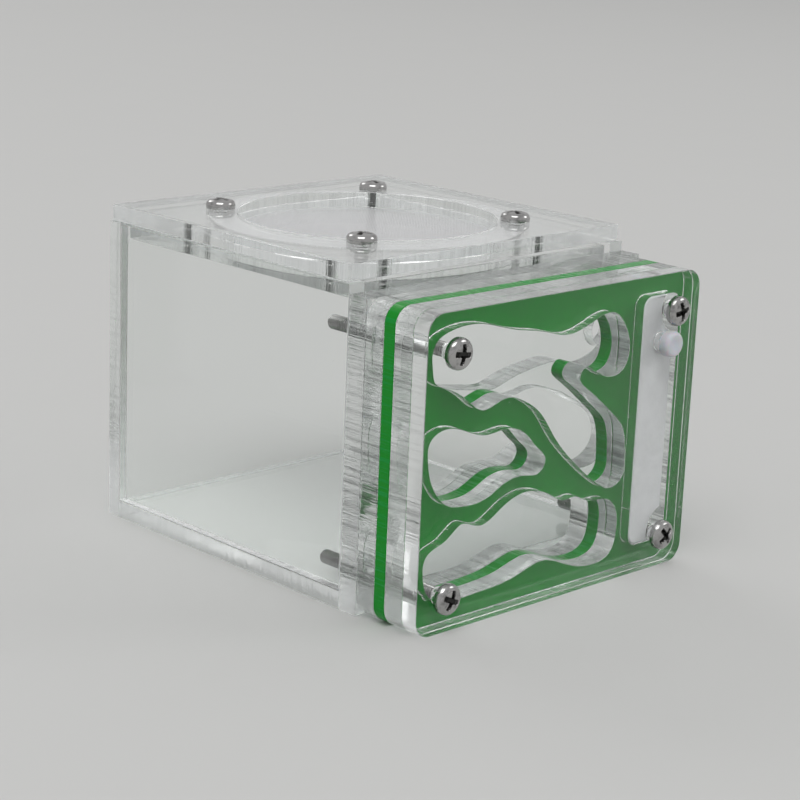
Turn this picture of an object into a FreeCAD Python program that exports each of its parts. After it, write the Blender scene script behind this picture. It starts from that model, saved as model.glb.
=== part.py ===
import FreeCAD, Part
import math
import os

import Sketcher

# Ant habitat: a clear acrylic box with a lift-off lid, whose front wall carries a nest
# bolted together from acrylic sheets.  Millimetres, +Z up, the nest faces -Y, and the
# origin is at the middle of the footprint, on the ground.

SIZES = (
    # the sheets seen from the front
    ("body_width", 80.0, "width of the nest and of the box"),
    ("nest_height", 64.5, "height of the nest sheets and of the box front wall"),
    ("nest_corner", 4.0, "corner radius of the nest sheets"),
    # the stack of sheets, from the box forwards
    ("front_wall", 5.0, "thickness of the box front wall"),
    ("rear_plate", 5.0, "thickness of the clear sheet behind the green one"),
    ("green_plate", 3.0, "thickness of the green sheet"),
    ("gallery_plate", 5.0, "thickness of the clear sheet with the moisture slot"),
    ("front_cover", 4.0, "thickness of the front cover"),
    # the box
    ("box_depth", 73.0, "clear depth of the box"),
    ("wall_rise", 2.0, "side and rear walls above the top of the nest"),
    ("wall", 4.0, "thickness of the side and rear walls"),
    ("base_thickness", 4.0, "thickness of the base plate"),
    # the chambers
    ("field_margin_left", 3.5, "plate left of the chambers"),
    ("field_margin_low", 3.9, "plate below the chambers"),
    ("field_margin_top", 4.3, "plate above the chambers"),
    ("slot_web", 3.1, "plate between the chambers and the moisture slot"),
    ("link_width", 6.0, "width of the gallery between the middle and the lower chamber"),
    ("passage_diameter", 8.0, "hole from the nest to the box"),
    ("passage_inset", 12.0, "passage hole to the right edge"),
    ("passage_drop", 14.5, "passage hole to the top edge of the nest"),
    # the moisture slot, its absorbent strip and the watering hole
    ("slot_margin_right", 4.0, "plate right of the moisture slot"),
    ("slot_width", 11.4, "width of the moisture slot"),
    ("slot_margin_low", 5.4, "plate below the moisture slot"),
    ("slot_margin_top", 5.0, "plate above the moisture slot"),
    ("slot_corner", 2.5, "corner radius of the moisture slot"),
    ("sponge_clearance", 0.1, "gap between the strip and three sides of the slot"),
    ("sponge_gap", 1.4, "gap between the strip and the slot's right side"),
    ("sponge_corner", 2.5, "corner radius of the strip"),
    ("sponge_screw_gap", 0.2, "gap between the strip and the screws"),
    ("water_hole", 4.0, "diameter of the watering hole"),
    ("water_hole_drop", 14.9, "watering hole to the top edge of the nest"),
    ("plug_clearance", 0.05, "radial gap around the plug's stem"),
    ("plug_tip_gap", 0.3, "gap between the stem's end and the strip"),
    ("plug_head", 5.5, "diameter of the plug's head"),
    ("plug_head_height", 2.5, "height of the plug's head"),
    # the screws and nuts
    ("screw", 3.0, "diameter of all screws"),
    ("screw_clearance", 0.2, "radial gap in a through hole"),
    ("thread_clearance", 0.02, "radial gap in a tapped hole"),
    ("head", 6.4, "diameter of the screw heads"),
    ("head_height", 2.2, "height of the screw heads"),
    ("recess_width", 0.9, "width of an arm of the cross recess"),
    ("recess_span", 3.2, "span of the cross recess"),
    ("recess_depth", 1.5, "depth of the cross recess"),
    ("nest_screw_inset", 7.6, "nest screws to the side edges"),
    ("nest_screw_rise", 7.2, "lower nest screws to the lower edge"),
    ("nest_screw_drop", 8.2, "upper nest screws to the upper edge"),
    ("nest_screw_tail", 7.0, "nest screw beyond its nut"),
    ("nut_flats", 5.5, "nut across flats"),
    ("nut_hexagon", 2.7, "height of the nut's hexagon"),
    ("nut_height", 4.0, "height of the nut with its collar"),
    ("nut_collar", 5.0, "diameter of the nut's collar"),
    ("ring_seat", 4.3, "diameter of the seat of the nylon ring"),
    ("ring_height", 1.1, "height of the nylon ring"),
    # the lid
    ("lid", 3.6, "thickness of the lid's top plate"),
    ("lid_side_inset", 0.5, "lid to the outside of the side walls"),
    ("lid_front_inset", 1.0, "lid to the inside of the box front wall"),
    ("lid_rear_inset", 0.4, "lid to the outside of the rear wall"),
    ("inner_plate", 3.0, "thickness of the plate under the mesh"),
    ("inner_clearance", 0.3, "inner plate to the side and rear walls"),
    ("inner_front_gap", 1.3, "inner plate to the box front wall"),
    ("mesh", 0.6, "thickness of the mesh"),
    ("mesh_inset", 0.2, "mesh to the edge of the inner plate"),
    ("vent_rim", 7.7, "inner plate left beside the vent"),
    ("vent_shift", 1.25, "middle of the vent behind the middle of the inner plate"),
    ("lid_screw_margin", 3.85, "lid screws to the edge of the vent"),
    ("lid_screw_tail", 2.8, "lid screw below the inner plate"),
)

# Outlines of the three chambers, in mm from the lower left corner of a nest sheet that has
# its nominal size.  Each is a closed smooth curve through its points, and the field that
# holds them stretches with the sheet.
DRAWN_LEFT, DRAWN_RIGHT = 3.5, 61.5
DRAWN_LOW, DRAWN_TOP = 3.9, 60.2
CHAMBERS = {
    "upper": (
        (3.7, 54), (5, 58.6), (8.5, 60), (17, 60.2), (25, 58.1), (35, 56.2), (41, 54.8),
        (48, 56.1), (55.8, 57.4), (58.4, 55.2), (60.7, 49), (59.4, 45.5), (56, 44.2),
        (50.5, 46.1), (47.3, 47.2), (45.8, 45.4), (48.2, 42.6), (56.3, 36.3), (59.8, 33),
        (61.5, 26), (61, 21.6), (57.3, 19.9), (53.6, 21.4), (46.5, 26.8), (39, 34.3),
        (34.5, 39.9), (29.5, 43.1), (24, 44.4), (18, 43), (13.5, 45.7), (8.5, 48.5),
        (4.6, 50.4),
    ),
    "middle": (
        (3.5, 36.3), (4.6, 39.4), (8, 40.6), (14, 39.2), (19.5, 37.6), (25, 38), (30, 36.4),
        (34, 32.7), (36.7, 29.3), (35.6, 27.5), (31, 27.4), (25, 26.8), (20.5, 24.8),
        (14, 24.2), (8.8, 25.5), (5.4, 29.2),
    ),
    "lower": (
        (3.5, 12.6), (4.6, 16), (9.5, 18), (13.8, 20.5), (18.3, 19.2), (25, 21.8),
        (32.5, 23.7), (39.5, 21.4), (43, 19.8), (46.5, 19.9), (51, 18.1), (56.5, 17.5),
        (59.6, 14.8), (60.3, 10), (59, 5.7), (52, 3.9), (44.5, 5.9), (38, 8), (29.5, 6.3),
        (18, 5.3), (10.5, 5.3), (5.8, 6.9),
    ),
}
# The chambers of the rear plate, on the same drawing.  A bar crosses the upper one.  What lies
# over the bar reaches the passage hole, and what lies under it joins the middle one.
REAR_CHAMBERS = {
    "over_bar": (
        (3.7, 54), (5, 58.6), (8.5, 60), (17, 60.2), (25, 58.1), (35, 56.2), (41, 54.8),
        (48, 56.1), (55.8, 57.4), (62, 55.6), (66.3, 51.5), (66, 47.6), (61.5, 44.9),
        (56, 44.5), (51, 46.1), (47.3, 47), (42.9, 46.8), (38.8, 46.3), (35.3, 45.6),
        (32.2, 44.7), (29, 43.9), (25, 44.3), (21.6, 44.8), (18.2, 45.4), (14, 46.5),
        (8.5, 48.5), (4.6, 50.4),
    ),
    "under_bar": (
        (3.5, 36.3), (4.6, 39.4), (8, 40.6), (14, 39.2), (19.5, 37.6), (25, 38), (28.5, 40),
        (31.5, 41.4), (35.5, 41.5), (39.1, 42.1), (42.7, 42), (45.8, 41.2), (49.5, 39.9),
        (54.9, 37), (60, 34.6), (64.4, 31), (65.3, 26.5), (62.5, 23.4), (58.5, 22.4),
        (53.6, 23.2), (47.5, 27.2), (42.5, 29.6), (38.8, 28.9), (35.6, 27.5), (31, 27.4),
        (25, 26.8), (20.5, 24.8), (14, 24.2), (8.8, 25.5), (5.4, 29.2),
    ),
    "lower": CHAMBERS["lower"],
}
# The gallery that joins the middle and the lower chamber in the rear plate: where it lies,
# and its two ends, each inside a chamber.
LINK = {"x": 13.0, "low": 17.0, "top": 27.0}

# Roundings as shares of the height that they round.
HEAD_ROUNDING = 0.6
COLLAR_ROUNDING = 0.25
PLUG_ROUNDING = 0.5

SAME_LENGTH = 1e-6


# ---------------------------------------------------------------- sizes and expressions

class Length:
    """A size in mm together with the sheet expression that gives it."""

    def __init__(self, value, text=None):
        self.value = float(value)
        self.text = text or repr(float(value))

    def _join(self, other, sign, value):
        return Length(value, f"({self.text} {sign} {as_length(other).text})")

    def __add__(self, other):
        return self._join(other, "+", self.value + as_length(other).value)

    def __sub__(self, other):
        return self._join(other, "-", self.value - as_length(other).value)

    def __mul__(self, other):
        return self._join(other, "*", self.value * as_length(other).value)

    def __truediv__(self, other):
        return self._join(other, "/", self.value / as_length(other).value)

    def __neg__(self):
        return Length(0) - self


def as_length(size):
    return size if isinstance(size, Length) else Length(size)


def smaller(first, second):
    return Length(min(first.value, second.value), f"min({first.text}; {second.text})")


def larger(first, second):
    return Length(max(first.value, second.value), f"max({first.text}; {second.text})")


ZERO = Length(0)


class Sizes:
    """The driving sizes of the sheet, and the ones that follow from them."""

    def __init__(self, sheet):
        for alias, _value, _note in SIZES:
            setattr(self, alias, Length(sheet.get(alias), f"{sheet.Name}.{alias}"))
        self.derive_planes()
        self.derive_nest()
        self.derive_lid()

    def derive_planes(self):
        self.left = -self.body_width / 2
        self.right = self.body_width / 2
        self.nest_depth = self.rear_plate + self.green_plate + self.gallery_plate + self.front_cover
        front = self.nest_depth + larger(self.head_height, self.plug_head_height)
        rear = self.front_wall + self.box_depth + self.wall
        # Y of each face of the sheets, from the joint between box and nest
        self.joint_y = (front - rear) / 2
        self.green_rear_y = self.joint_y - self.rear_plate
        self.gallery_rear_y = self.green_rear_y - self.green_plate
        self.cover_rear_y = self.gallery_rear_y - self.gallery_plate
        self.cover_front_y = self.cover_rear_y - self.front_cover
        self.box_front_y = self.joint_y + self.front_wall
        self.box_rear_y = self.box_front_y + self.box_depth
        self.rear_y = self.box_rear_y + self.wall

    def derive_nest(self):
        # places on a nest sheet, from its lower left corner
        self.slot_right = self.body_width - self.slot_margin_right
        self.slot_left = self.slot_right - self.slot_width
        self.slot_low = self.slot_margin_low
        self.slot_top = self.nest_height - self.slot_margin_top
        self.field_width = self.slot_left - self.slot_web - self.field_margin_left
        self.field_height = self.nest_height - self.field_margin_top - self.field_margin_low
        self.screw_columns = (self.nest_screw_inset, self.body_width - self.nest_screw_inset)
        self.screw_rows = (self.nest_screw_rise, self.nest_height - self.nest_screw_drop)
        strip_end = self.screw_columns[1] - self.screw / 2 - self.sponge_screw_gap
        self.sponge_notch = self.slot_right - strip_end
        self.water_x = (self.slot_left + self.slot_right) / 2
        self.water_z = self.nest_height - self.water_hole_drop
        self.passage_x = self.body_width - self.passage_inset
        self.passage_z = self.nest_height - self.passage_drop
        self.screw_hole_radius = self.screw / 2 + self.screw_clearance
        self.tapped_radius = self.screw / 2 + self.thread_clearance
        grip = self.nest_depth + self.front_wall
        self.nest_screw_length = grip + self.nut_height + self.nest_screw_tail

    def derive_lid(self):
        self.wall_top = self.nest_height + self.wall_rise
        self.inner_width = self.body_width - self.wall * 2 - self.inner_clearance * 2
        self.inner_rear_y = self.box_rear_y - self.inner_clearance
        self.inner_front_y = self.box_front_y + self.inner_front_gap
        self.vent_y = (self.inner_rear_y + self.inner_front_y) / 2 + self.vent_shift
        half = smaller(self.inner_width, self.inner_rear_y - self.inner_front_y) / 2
        self.vent_radius = half - self.vent_rim
        self.mesh_radius = smaller(self.inner_width / 2, self.inner_rear_y - self.vent_y) - self.mesh_inset
        self.lid_top = self.wall_top + self.lid
        self.mesh_low = self.wall_top - self.mesh
        self.inner_low = self.mesh_low - self.inner_plate
        self.lid_screw_reach = (self.vent_radius + self.lid_screw_margin) / math.sqrt(2)
        self.lid_screw_length = self.lid + self.mesh + self.inner_plate + self.lid_screw_tail

    def on_field(self, x, z):
        """A point of the drawing of the chambers, on the sheet at its present size."""
        across = (x - DRAWN_LEFT) / (DRAWN_RIGHT - DRAWN_LEFT)
        up = (z - DRAWN_LOW) / (DRAWN_TOP - DRAWN_LOW)
        return (self.field_margin_left + self.field_width * across,
                self.field_margin_low + self.field_height * up)


def make_sheet(doc):
    sheet = doc.addObject("Spreadsheet::Sheet", "sizes")
    for row, (alias, value, note) in enumerate(SIZES, start=1):
        sheet.set(f"A{row}", alias)
        sheet.set(f"B{row}", str(value))
        sheet.set(f"C{row}", note)
        sheet.setAlias(f"B{row}", alias)
    doc.recompute()
    return sheet


# ---------------------------------------------------------------- sketches and features

AXIS_FORWARD = FreeCAD.Rotation(FreeCAD.Vector(1, 0, 0), 90)
AXIS_BACKWARD = FreeCAD.Rotation(FreeCAD.Vector(1, 0, 0), -90)
AXIS_UP = FreeCAD.Rotation()


def new_body(doc, label, at, rotation=AXIS_UP):
    """An empty body whose own origin lies at the point, with its +Z axis turned."""
    body = doc.addObject("PartDesign::Body", label)
    body.Label = label
    body.Placement = FreeCAD.Placement(FreeCAD.Vector(*(length.value for length in at)), rotation)
    for axis, length in zip("xyz", at):
        body.setExpression(f"Placement.Base.{axis}", length.text)
    return body


def new_sketch(body, name, role="XY_Plane", offset=None):
    sketch = body.newObject("Sketcher::SketchObject", name)
    plane = next(feature for feature in body.Origin.OriginFeatures if feature.Role == role)
    sketch.AttachmentSupport = (plane, [""])
    sketch.MapMode = "FlatFace"
    if offset is not None:
        sketch.setExpression("AttachmentOffset.Base.z", offset.text)
    return sketch


def constrain(sketch, kind, *where, length):
    index = sketch.addConstraint(Sketcher.Constraint(kind, *where, length.value))
    sketch.setExpression(f"Constraints[{index}]", length.text)


def pin(sketch, edge, end, point):
    """Ties one end of an edge, or the centre of a circle, to a point of the sketch."""
    constrain(sketch, "DistanceX", -1, 1, edge, end, length=point[0])
    constrain(sketch, "DistanceY", -1, 1, edge, end, length=point[1])


def vector(point):
    return FreeCAD.Vector(point[0].value, point[1].value, 0)


def add_line(sketch, start, end):
    edge = sketch.addGeometry(Part.LineSegment(vector(start), vector(end)), False)
    pin(sketch, edge, 1, start)
    pin(sketch, edge, 2, end)
    return edge


def add_polygon(sketch, corners):
    edges = []
    for start, end in zip(corners, corners[1:] + corners[:1]):
        edge = sketch.addGeometry(Part.LineSegment(vector(start), vector(end)), False)
        pin(sketch, edge, 1, start)
        edges.append(edge)
    for edge, following in zip(edges, edges[1:] + edges[:1]):
        sketch.addConstraint(Sketcher.Constraint("Coincident", edge, 2, following, 1))


def add_rectangle(sketch, x0, x1, y0, y1):
    add_polygon(sketch, [(x0, y0), (x1, y0), (x1, y1), (x0, y1)])


def add_rounded_rectangle(sketch, x0, x1, y0, y1, radius):
    """Four pinned sides, and at each corner a quarter arc between their ends."""
    sides = [
        add_line(sketch, (x0 + radius, y0), (x1 - radius, y0)),
        add_line(sketch, (x1, y0 + radius), (x1, y1 - radius)),
        add_line(sketch, (x1 - radius, y1), (x0 + radius, y1)),
        add_line(sketch, (x0, y1 - radius), (x0, y0 + radius)),
    ]
    centres = [
        (x1 - radius, y0 + radius),
        (x1 - radius, y1 - radius),
        (x0 + radius, y1 - radius),
        (x0 + radius, y0 + radius),
    ]
    for corner, centre in enumerate(centres):
        start = math.radians(-90 + 90 * corner)
        circle = Part.Circle(vector(centre), FreeCAD.Vector(0, 0, 1), radius.value)
        arc = sketch.addGeometry(Part.ArcOfCircle(circle, start, start + math.pi / 2), False)
        side, following = sides[corner], sides[(corner + 1) % 4]
        sketch.addConstraint(Sketcher.Constraint("Coincident", arc, 1, side, 2))
        sketch.addConstraint(Sketcher.Constraint("Coincident", arc, 2, following, 1))
        constrain(sketch, "Radius", arc, length=radius)


def add_circle(sketch, x, y, radius):
    circle = Part.Circle(vector((x, y)), FreeCAD.Vector(0, 0, 1), radius.value)
    edge = sketch.addGeometry(circle, False)
    pin(sketch, edge, 3, (x, y))
    constrain(sketch, "Radius", edge, length=radius)


def add_closed_curve(sketch, points):
    curve = Part.BSplineCurve()
    curve.interpolate(Points=[vector(point) for point in points], PeriodicFlag=True)
    sketch.addGeometry(curve, False)


def pad(body, sketch, length, reverse=False):
    feature = body.newObject("PartDesign::Pad", f"{sketch.Name}_pad")
    feature.Profile = sketch
    feature.Reversed = reverse
    feature.setExpression("Length", length.text)
    body.Tip = feature
    return feature


def pocket_through(body, sketch):
    """Cuts the sketch's outline through the whole body, to both sides of its plane."""
    feature = body.newObject("PartDesign::Pocket", f"{sketch.Name}_pocket")
    feature.Profile = sketch
    feature.Type = "ThroughAll"
    feature.Midplane = True
    body.Tip = feature
    return feature


def pocket(body, sketch, depth):
    """Cuts the sketch's outline down from its plane."""
    feature = body.newObject("PartDesign::Pocket", f"{sketch.Name}_pocket")
    feature.Profile = sketch
    feature.setExpression("Length", depth.text)
    body.Tip = feature
    return feature


def fillet_circle(doc, body, radius, height, fillet):
    """Rounds the circular edge with that radius at that height over the body's own origin."""
    doc.recompute()
    base = body.Tip
    names = []
    for number, edge in enumerate(base.Shape.Edges, start=1):
        curve = edge.Curve
        if not isinstance(curve, Part.Circle):
            continue
        if math.isclose(curve.Radius, radius.value, abs_tol=SAME_LENGTH) and math.isclose(
                edge.CenterOfMass.z, height.value, abs_tol=SAME_LENGTH):
            names.append(f"Edge{number}")
    feature = body.newObject("PartDesign::Fillet", f"{body.Name}_round")
    feature.Base = (base, names)
    feature.setExpression("Radius", fillet.text)
    body.Tip = feature
    doc.recompute()


# ---------------------------------------------------------------- the nest

def nest_sheet(doc, s, label, rear_y, thickness, corner=None):
    """A nest sheet drawn on the plane of its rear face, from its lower left corner."""
    body = new_body(doc, label, (s.left, rear_y, ZERO))
    outline = new_sketch(body, f"{label}_outline", "XZ_Plane")
    if corner is None:
        add_rectangle(outline, ZERO, s.body_width, ZERO, s.nest_height)
    else:
        add_rounded_rectangle(outline, ZERO, s.body_width, ZERO, s.nest_height, corner)
    pad(body, outline, thickness)
    return body


def cut_chambers(s, body, chambers=CHAMBERS):
    sketch = new_sketch(body, f"{body.Name}_chambers", "XZ_Plane")
    for points in chambers.values():
        add_closed_curve(sketch, [s.on_field(x, z) for x, z in points])
    pocket_through(body, sketch)


def cut_screw_holes(s, body):
    sketch = new_sketch(body, f"{body.Name}_screw_holes", "XZ_Plane")
    for x in s.screw_columns:
        for z in s.screw_rows:
            add_circle(sketch, x, z, s.screw_hole_radius)
    pocket_through(body, sketch)


def cut_passage(s, body):
    sketch = new_sketch(body, f"{body.Name}_passage", "XZ_Plane")
    add_circle(sketch, s.passage_x, s.passage_z, s.passage_diameter / 2)
    pocket_through(body, sketch)


def cut_link(s, body):
    sketch = new_sketch(body, f"{body.Name}_link", "XZ_Plane")
    half = s.link_width / 2
    x, low = s.on_field(LINK["x"], LINK["low"])
    _, top = s.on_field(LINK["x"], LINK["top"])
    add_rectangle(sketch, x - half, x + half, low, top)
    pocket_through(body, sketch)


def cut_slot(s, body):
    sketch = new_sketch(body, f"{body.Name}_slot", "XZ_Plane")
    add_rounded_rectangle(sketch, s.slot_left, s.slot_right, s.slot_low, s.slot_top, s.slot_corner)
    pocket_through(body, sketch)


def make_box_front_wall(doc, s):
    body = nest_sheet(doc, s, "box_front_wall", s.box_front_y, s.front_wall)
    cut_screw_holes(s, body)
    cut_passage(s, body)


def make_nest_rear_plate(doc, s):
    body = nest_sheet(doc, s, "nest_rear_plate", s.joint_y, s.rear_plate, s.nest_corner)
    cut_screw_holes(s, body)
    cut_passage(s, body)
    cut_link(s, body)
    cut_chambers(s, body, REAR_CHAMBERS)


def make_nest_green_plate(doc, s):
    body = nest_sheet(doc, s, "nest_green_plate", s.green_rear_y, s.green_plate, s.nest_corner)
    cut_screw_holes(s, body)
    cut_chambers(s, body)


def make_nest_gallery_plate(doc, s):
    body = nest_sheet(doc, s, "nest_gallery_plate", s.gallery_rear_y, s.gallery_plate, s.nest_corner)
    cut_screw_holes(s, body)
    cut_slot(s, body)
    cut_chambers(s, body)


def make_nest_front_cover(doc, s):
    body = nest_sheet(doc, s, "nest_front_cover", s.cover_rear_y, s.front_cover, s.nest_corner)
    cut_screw_holes(s, body)
    hole = new_sketch(body, "nest_front_cover_water_hole", "XZ_Plane")
    add_circle(hole, s.water_x, s.water_z, s.water_hole / 2)
    pocket_through(body, hole)


def make_moisture_sponge(doc, s):
    """The absorbent strip fills the slot's depth, and its right corners are cut away in wide
    arcs that pass the two screws on their left."""
    body = new_body(doc, "moisture_sponge", (s.left, s.gallery_rear_y, ZERO))
    outline = new_sketch(body, "moisture_sponge_outline", "XZ_Plane")
    add_rounded_rectangle(outline, s.slot_left + s.sponge_clearance, s.slot_right - s.sponge_gap,
                          s.slot_low + s.sponge_clearance, s.slot_top - s.sponge_clearance,
                          s.sponge_corner)
    pad(body, outline, s.gallery_plate)
    notches = new_sketch(body, "moisture_sponge_notches", "XZ_Plane")
    for z in s.screw_rows:
        add_circle(notches, s.slot_right, z, s.sponge_notch)
    pocket_through(body, notches)


def make_water_plug(doc, s):
    """A soft plug: a stem in the cover's hole and a domed head on the cover's front."""
    body = new_body(doc, "water_plug", (s.left + s.water_x, s.cover_front_y, s.water_z), AXIS_FORWARD)
    stem = new_sketch(body, "water_plug_stem")
    add_circle(stem, ZERO, ZERO, s.water_hole / 2 - s.plug_clearance)
    pad(body, stem, s.front_cover - s.plug_tip_gap, reverse=True)
    head = new_sketch(body, "water_plug_head")
    add_circle(head, ZERO, ZERO, s.plug_head / 2)
    pad(body, head, s.plug_head_height)
    fillet_circle(doc, body, s.plug_head / 2, s.plug_head_height, s.plug_head_height * PLUG_ROUNDING)


# ---------------------------------------------------------------- screws and nuts

def make_screw(doc, s, label, at, rotation, length):
    """A pan-head screw: its own origin is under the head, on the axis, and +Z is outwards."""
    body = new_body(doc, label, at, rotation)
    shank = new_sketch(body, f"{label}_shank")
    add_circle(shank, ZERO, ZERO, s.screw / 2)
    pad(body, shank, length, reverse=True)
    head = new_sketch(body, f"{label}_head")
    add_circle(head, ZERO, ZERO, s.head / 2)
    pad(body, head, s.head_height)
    fillet_circle(doc, body, s.head / 2, s.head_height, s.head_height * HEAD_ROUNDING)
    arm = new_sketch(body, f"{label}_recess", offset=s.head_height)
    half_span, half_width = s.recess_span / 2, s.recess_width / 2
    add_rectangle(arm, -half_span, half_span, -half_width, half_width)
    first_arm = pocket(body, arm, s.recess_depth)
    cross = body.newObject("PartDesign::PolarPattern", f"{label}_cross")
    cross.Originals = [first_arm]
    cross.Axis = (arm, ["N_Axis"])
    cross.Angle = 90
    cross.Occurrences = 2
    body.Tip = cross


def make_nut(doc, s, label, at):
    """A lock nut: a hexagon with a round collar, and a seat for the nylon ring in its end."""
    body = new_body(doc, label, at, AXIS_BACKWARD)
    hexagon = body.newObject("PartDesign::AdditivePrism", f"{label}_hexagon")
    hexagon.Polygon = 6
    hexagon.setExpression("Circumradius", (s.nut_flats / (2 * math.cos(math.pi / 6))).text)
    hexagon.setExpression("Height", s.nut_hexagon.text)
    body.Tip = hexagon
    collar = new_sketch(body, f"{label}_collar", offset=s.nut_hexagon)
    add_circle(collar, ZERO, ZERO, s.nut_collar / 2)
    pad(body, collar, s.nut_height - s.nut_hexagon)
    rounding = (s.nut_height - s.nut_hexagon) * COLLAR_ROUNDING
    fillet_circle(doc, body, s.nut_collar / 2, s.nut_height, rounding)
    bore = new_sketch(body, f"{label}_bore")
    add_circle(bore, ZERO, ZERO, s.tapped_radius)
    pocket_through(body, bore)
    seat = new_sketch(body, f"{label}_seat", offset=s.nut_height)
    add_circle(seat, ZERO, ZERO, s.ring_seat / 2)
    pocket(body, seat, s.ring_height)


def make_nut_ring(doc, s, label, at):
    body = new_body(doc, label, at, AXIS_BACKWARD)
    ring = new_sketch(body, f"{label}_ring", offset=s.nut_height - s.ring_height)
    add_circle(ring, ZERO, ZERO, s.ring_seat / 2 - s.thread_clearance)
    add_circle(ring, ZERO, ZERO, s.tapped_radius)
    pad(body, ring, s.ring_height)


def make_nest_fasteners(doc, s):
    """Number 1 is lower left, 2 upper left, 3 lower right and 4 upper right."""
    places = [(x, z) for x in s.screw_columns for z in s.screw_rows]
    for number, (x, z) in enumerate(places, start=1):
        under_head = (s.left + x, s.cover_front_y, z)
        on_wall = (s.left + x, s.box_front_y, z)
        make_screw(doc, s, f"nest_screw_{number}", under_head, AXIS_FORWARD, s.nest_screw_length)
        make_nut(doc, s, f"nest_nut_{number}", on_wall)
        make_nut_ring(doc, s, f"nest_nut_ring_{number}", on_wall)


# ---------------------------------------------------------------- the box

def upright_plate(doc, label, x_span, y_span, z_span):
    """A plate between two planes along each axis."""
    (x0, x1), (y0, y1), (z0, z1) = x_span, y_span, z_span
    body = new_body(doc, label, (x0, y0, z0))
    outline = new_sketch(body, f"{label}_outline")
    add_rectangle(outline, ZERO, x1 - x0, ZERO, y1 - y0)
    pad(body, outline, z1 - z0)
    return body


def make_box(doc, s):
    width = (s.left, s.right)
    depth = (s.box_front_y, s.box_rear_y)
    upright_plate(doc, "box_base_plate", width, depth, (ZERO, s.base_thickness))
    upright_plate(doc, "box_rear_wall", width, (s.box_rear_y, s.rear_y), (ZERO, s.wall_top))
    rise = (s.base_thickness, s.wall_top)
    upright_plate(doc, "box_left_wall", (s.left, s.left + s.wall), depth, rise)
    upright_plate(doc, "box_right_wall", (s.right - s.wall, s.right), depth, rise)


# ---------------------------------------------------------------- the lid

def lid_screw_places(s):
    """Number 1 is front left, 2 rear left, 3 front right and 4 rear right."""
    reach = s.lid_screw_reach
    return [(x, s.vent_y + y) for x in (-reach, reach) for y in (-reach, reach)]


def cut_lid_holes(s, body, corner_x, corner_y, hole_radius, vent=True):
    """The vent and the four screw holes, in a plate whose own origin is at that corner."""
    holes = new_sketch(body, f"{body.Name}_holes")
    for x, y in lid_screw_places(s):
        add_circle(holes, x - corner_x, y - corner_y, hole_radius)
    if vent:
        add_circle(holes, -corner_x, s.vent_y - corner_y, s.vent_radius)
    pocket_through(body, holes)


def make_lid_top_plate(doc, s):
    x_span = (s.left + s.lid_side_inset, s.right - s.lid_side_inset)
    y_span = (s.box_front_y + s.lid_front_inset, s.rear_y - s.lid_rear_inset)
    body = upright_plate(doc, "lid_top_plate", x_span, y_span, (s.wall_top, s.lid_top))
    cut_lid_holes(s, body, x_span[0], y_span[0], s.screw_hole_radius)


def make_lid_inner_plate(doc, s):
    x_span = (-s.inner_width / 2, s.inner_width / 2)
    y_span = (s.inner_front_y, s.inner_rear_y)
    body = upright_plate(doc, "lid_inner_plate", x_span, y_span, (s.inner_low, s.mesh_low))
    cut_lid_holes(s, body, x_span[0], y_span[0], s.tapped_radius)


def make_vent_mesh(doc, s):
    """The mesh as a thin disc, clamped between the lid's two plates."""
    body = new_body(doc, "vent_mesh", (ZERO, s.vent_y, s.mesh_low))
    outline = new_sketch(body, "vent_mesh_outline")
    add_circle(outline, ZERO, ZERO, s.mesh_radius)
    pad(body, outline, s.mesh)
    cut_lid_holes(s, body, ZERO, s.vent_y, s.screw_hole_radius, vent=False)


def make_lid(doc, s):
    make_lid_top_plate(doc, s)
    make_vent_mesh(doc, s)
    make_lid_inner_plate(doc, s)
    for number, (x, y) in enumerate(lid_screw_places(s), start=1):
        make_screw(doc, s, f"lid_screw_{number}", (x, y, s.lid_top), AXIS_UP, s.lid_screw_length)


# ---------------------------------------------------------------- the whole model

def build(doc, s):
    make_box(doc, s)
    make_box_front_wall(doc, s)
    make_nest_rear_plate(doc, s)
    make_nest_green_plate(doc, s)
    make_nest_gallery_plate(doc, s)
    make_nest_front_cover(doc, s)
    make_moisture_sponge(doc, s)
    make_water_plug(doc, s)
    make_nest_fasteners(doc, s)
    make_lid(doc, s)
    doc.recompute()


def check(doc):
    """Every object is up to date, each cut removes material, and each body is one solid."""
    for item in doc.Objects:
        if {"Invalid", "Error"} & set(item.State):
            raise RuntimeError(f"{item.Label} failed: {item.State}")
        if item.TypeId == "PartDesign::Pocket":
            if math.isclose(item.Shape.Volume, item.BaseFeature.Shape.Volume):
                raise RuntimeError(f"{item.Label} cuts nothing")
    for body in doc.findObjects("PartDesign::Body"):
        shape = body.Shape
        if shape.isNull() or not shape.isValid() or len(shape.Solids) != 1:
            raise RuntimeError(f"{body.Label} is not one valid solid")


def write(doc):
    os.makedirs("parts", exist_ok=True)
    for body in doc.findObjects("PartDesign::Body"):
        body.Shape.exportStep(os.path.join("parts", f"{body.Label}.step"))
        print(f"{body.Label}: {body.Shape.Volume:.1f} mm3")


def main():
    doc = FreeCAD.newDocument("ant_habitat")
    build(doc, Sizes(make_sheet(doc)))
    check(doc)
    write(doc)


main()
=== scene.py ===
import math

import bpy
import numpy as np
from mathutils import Matrix, Vector


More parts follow.
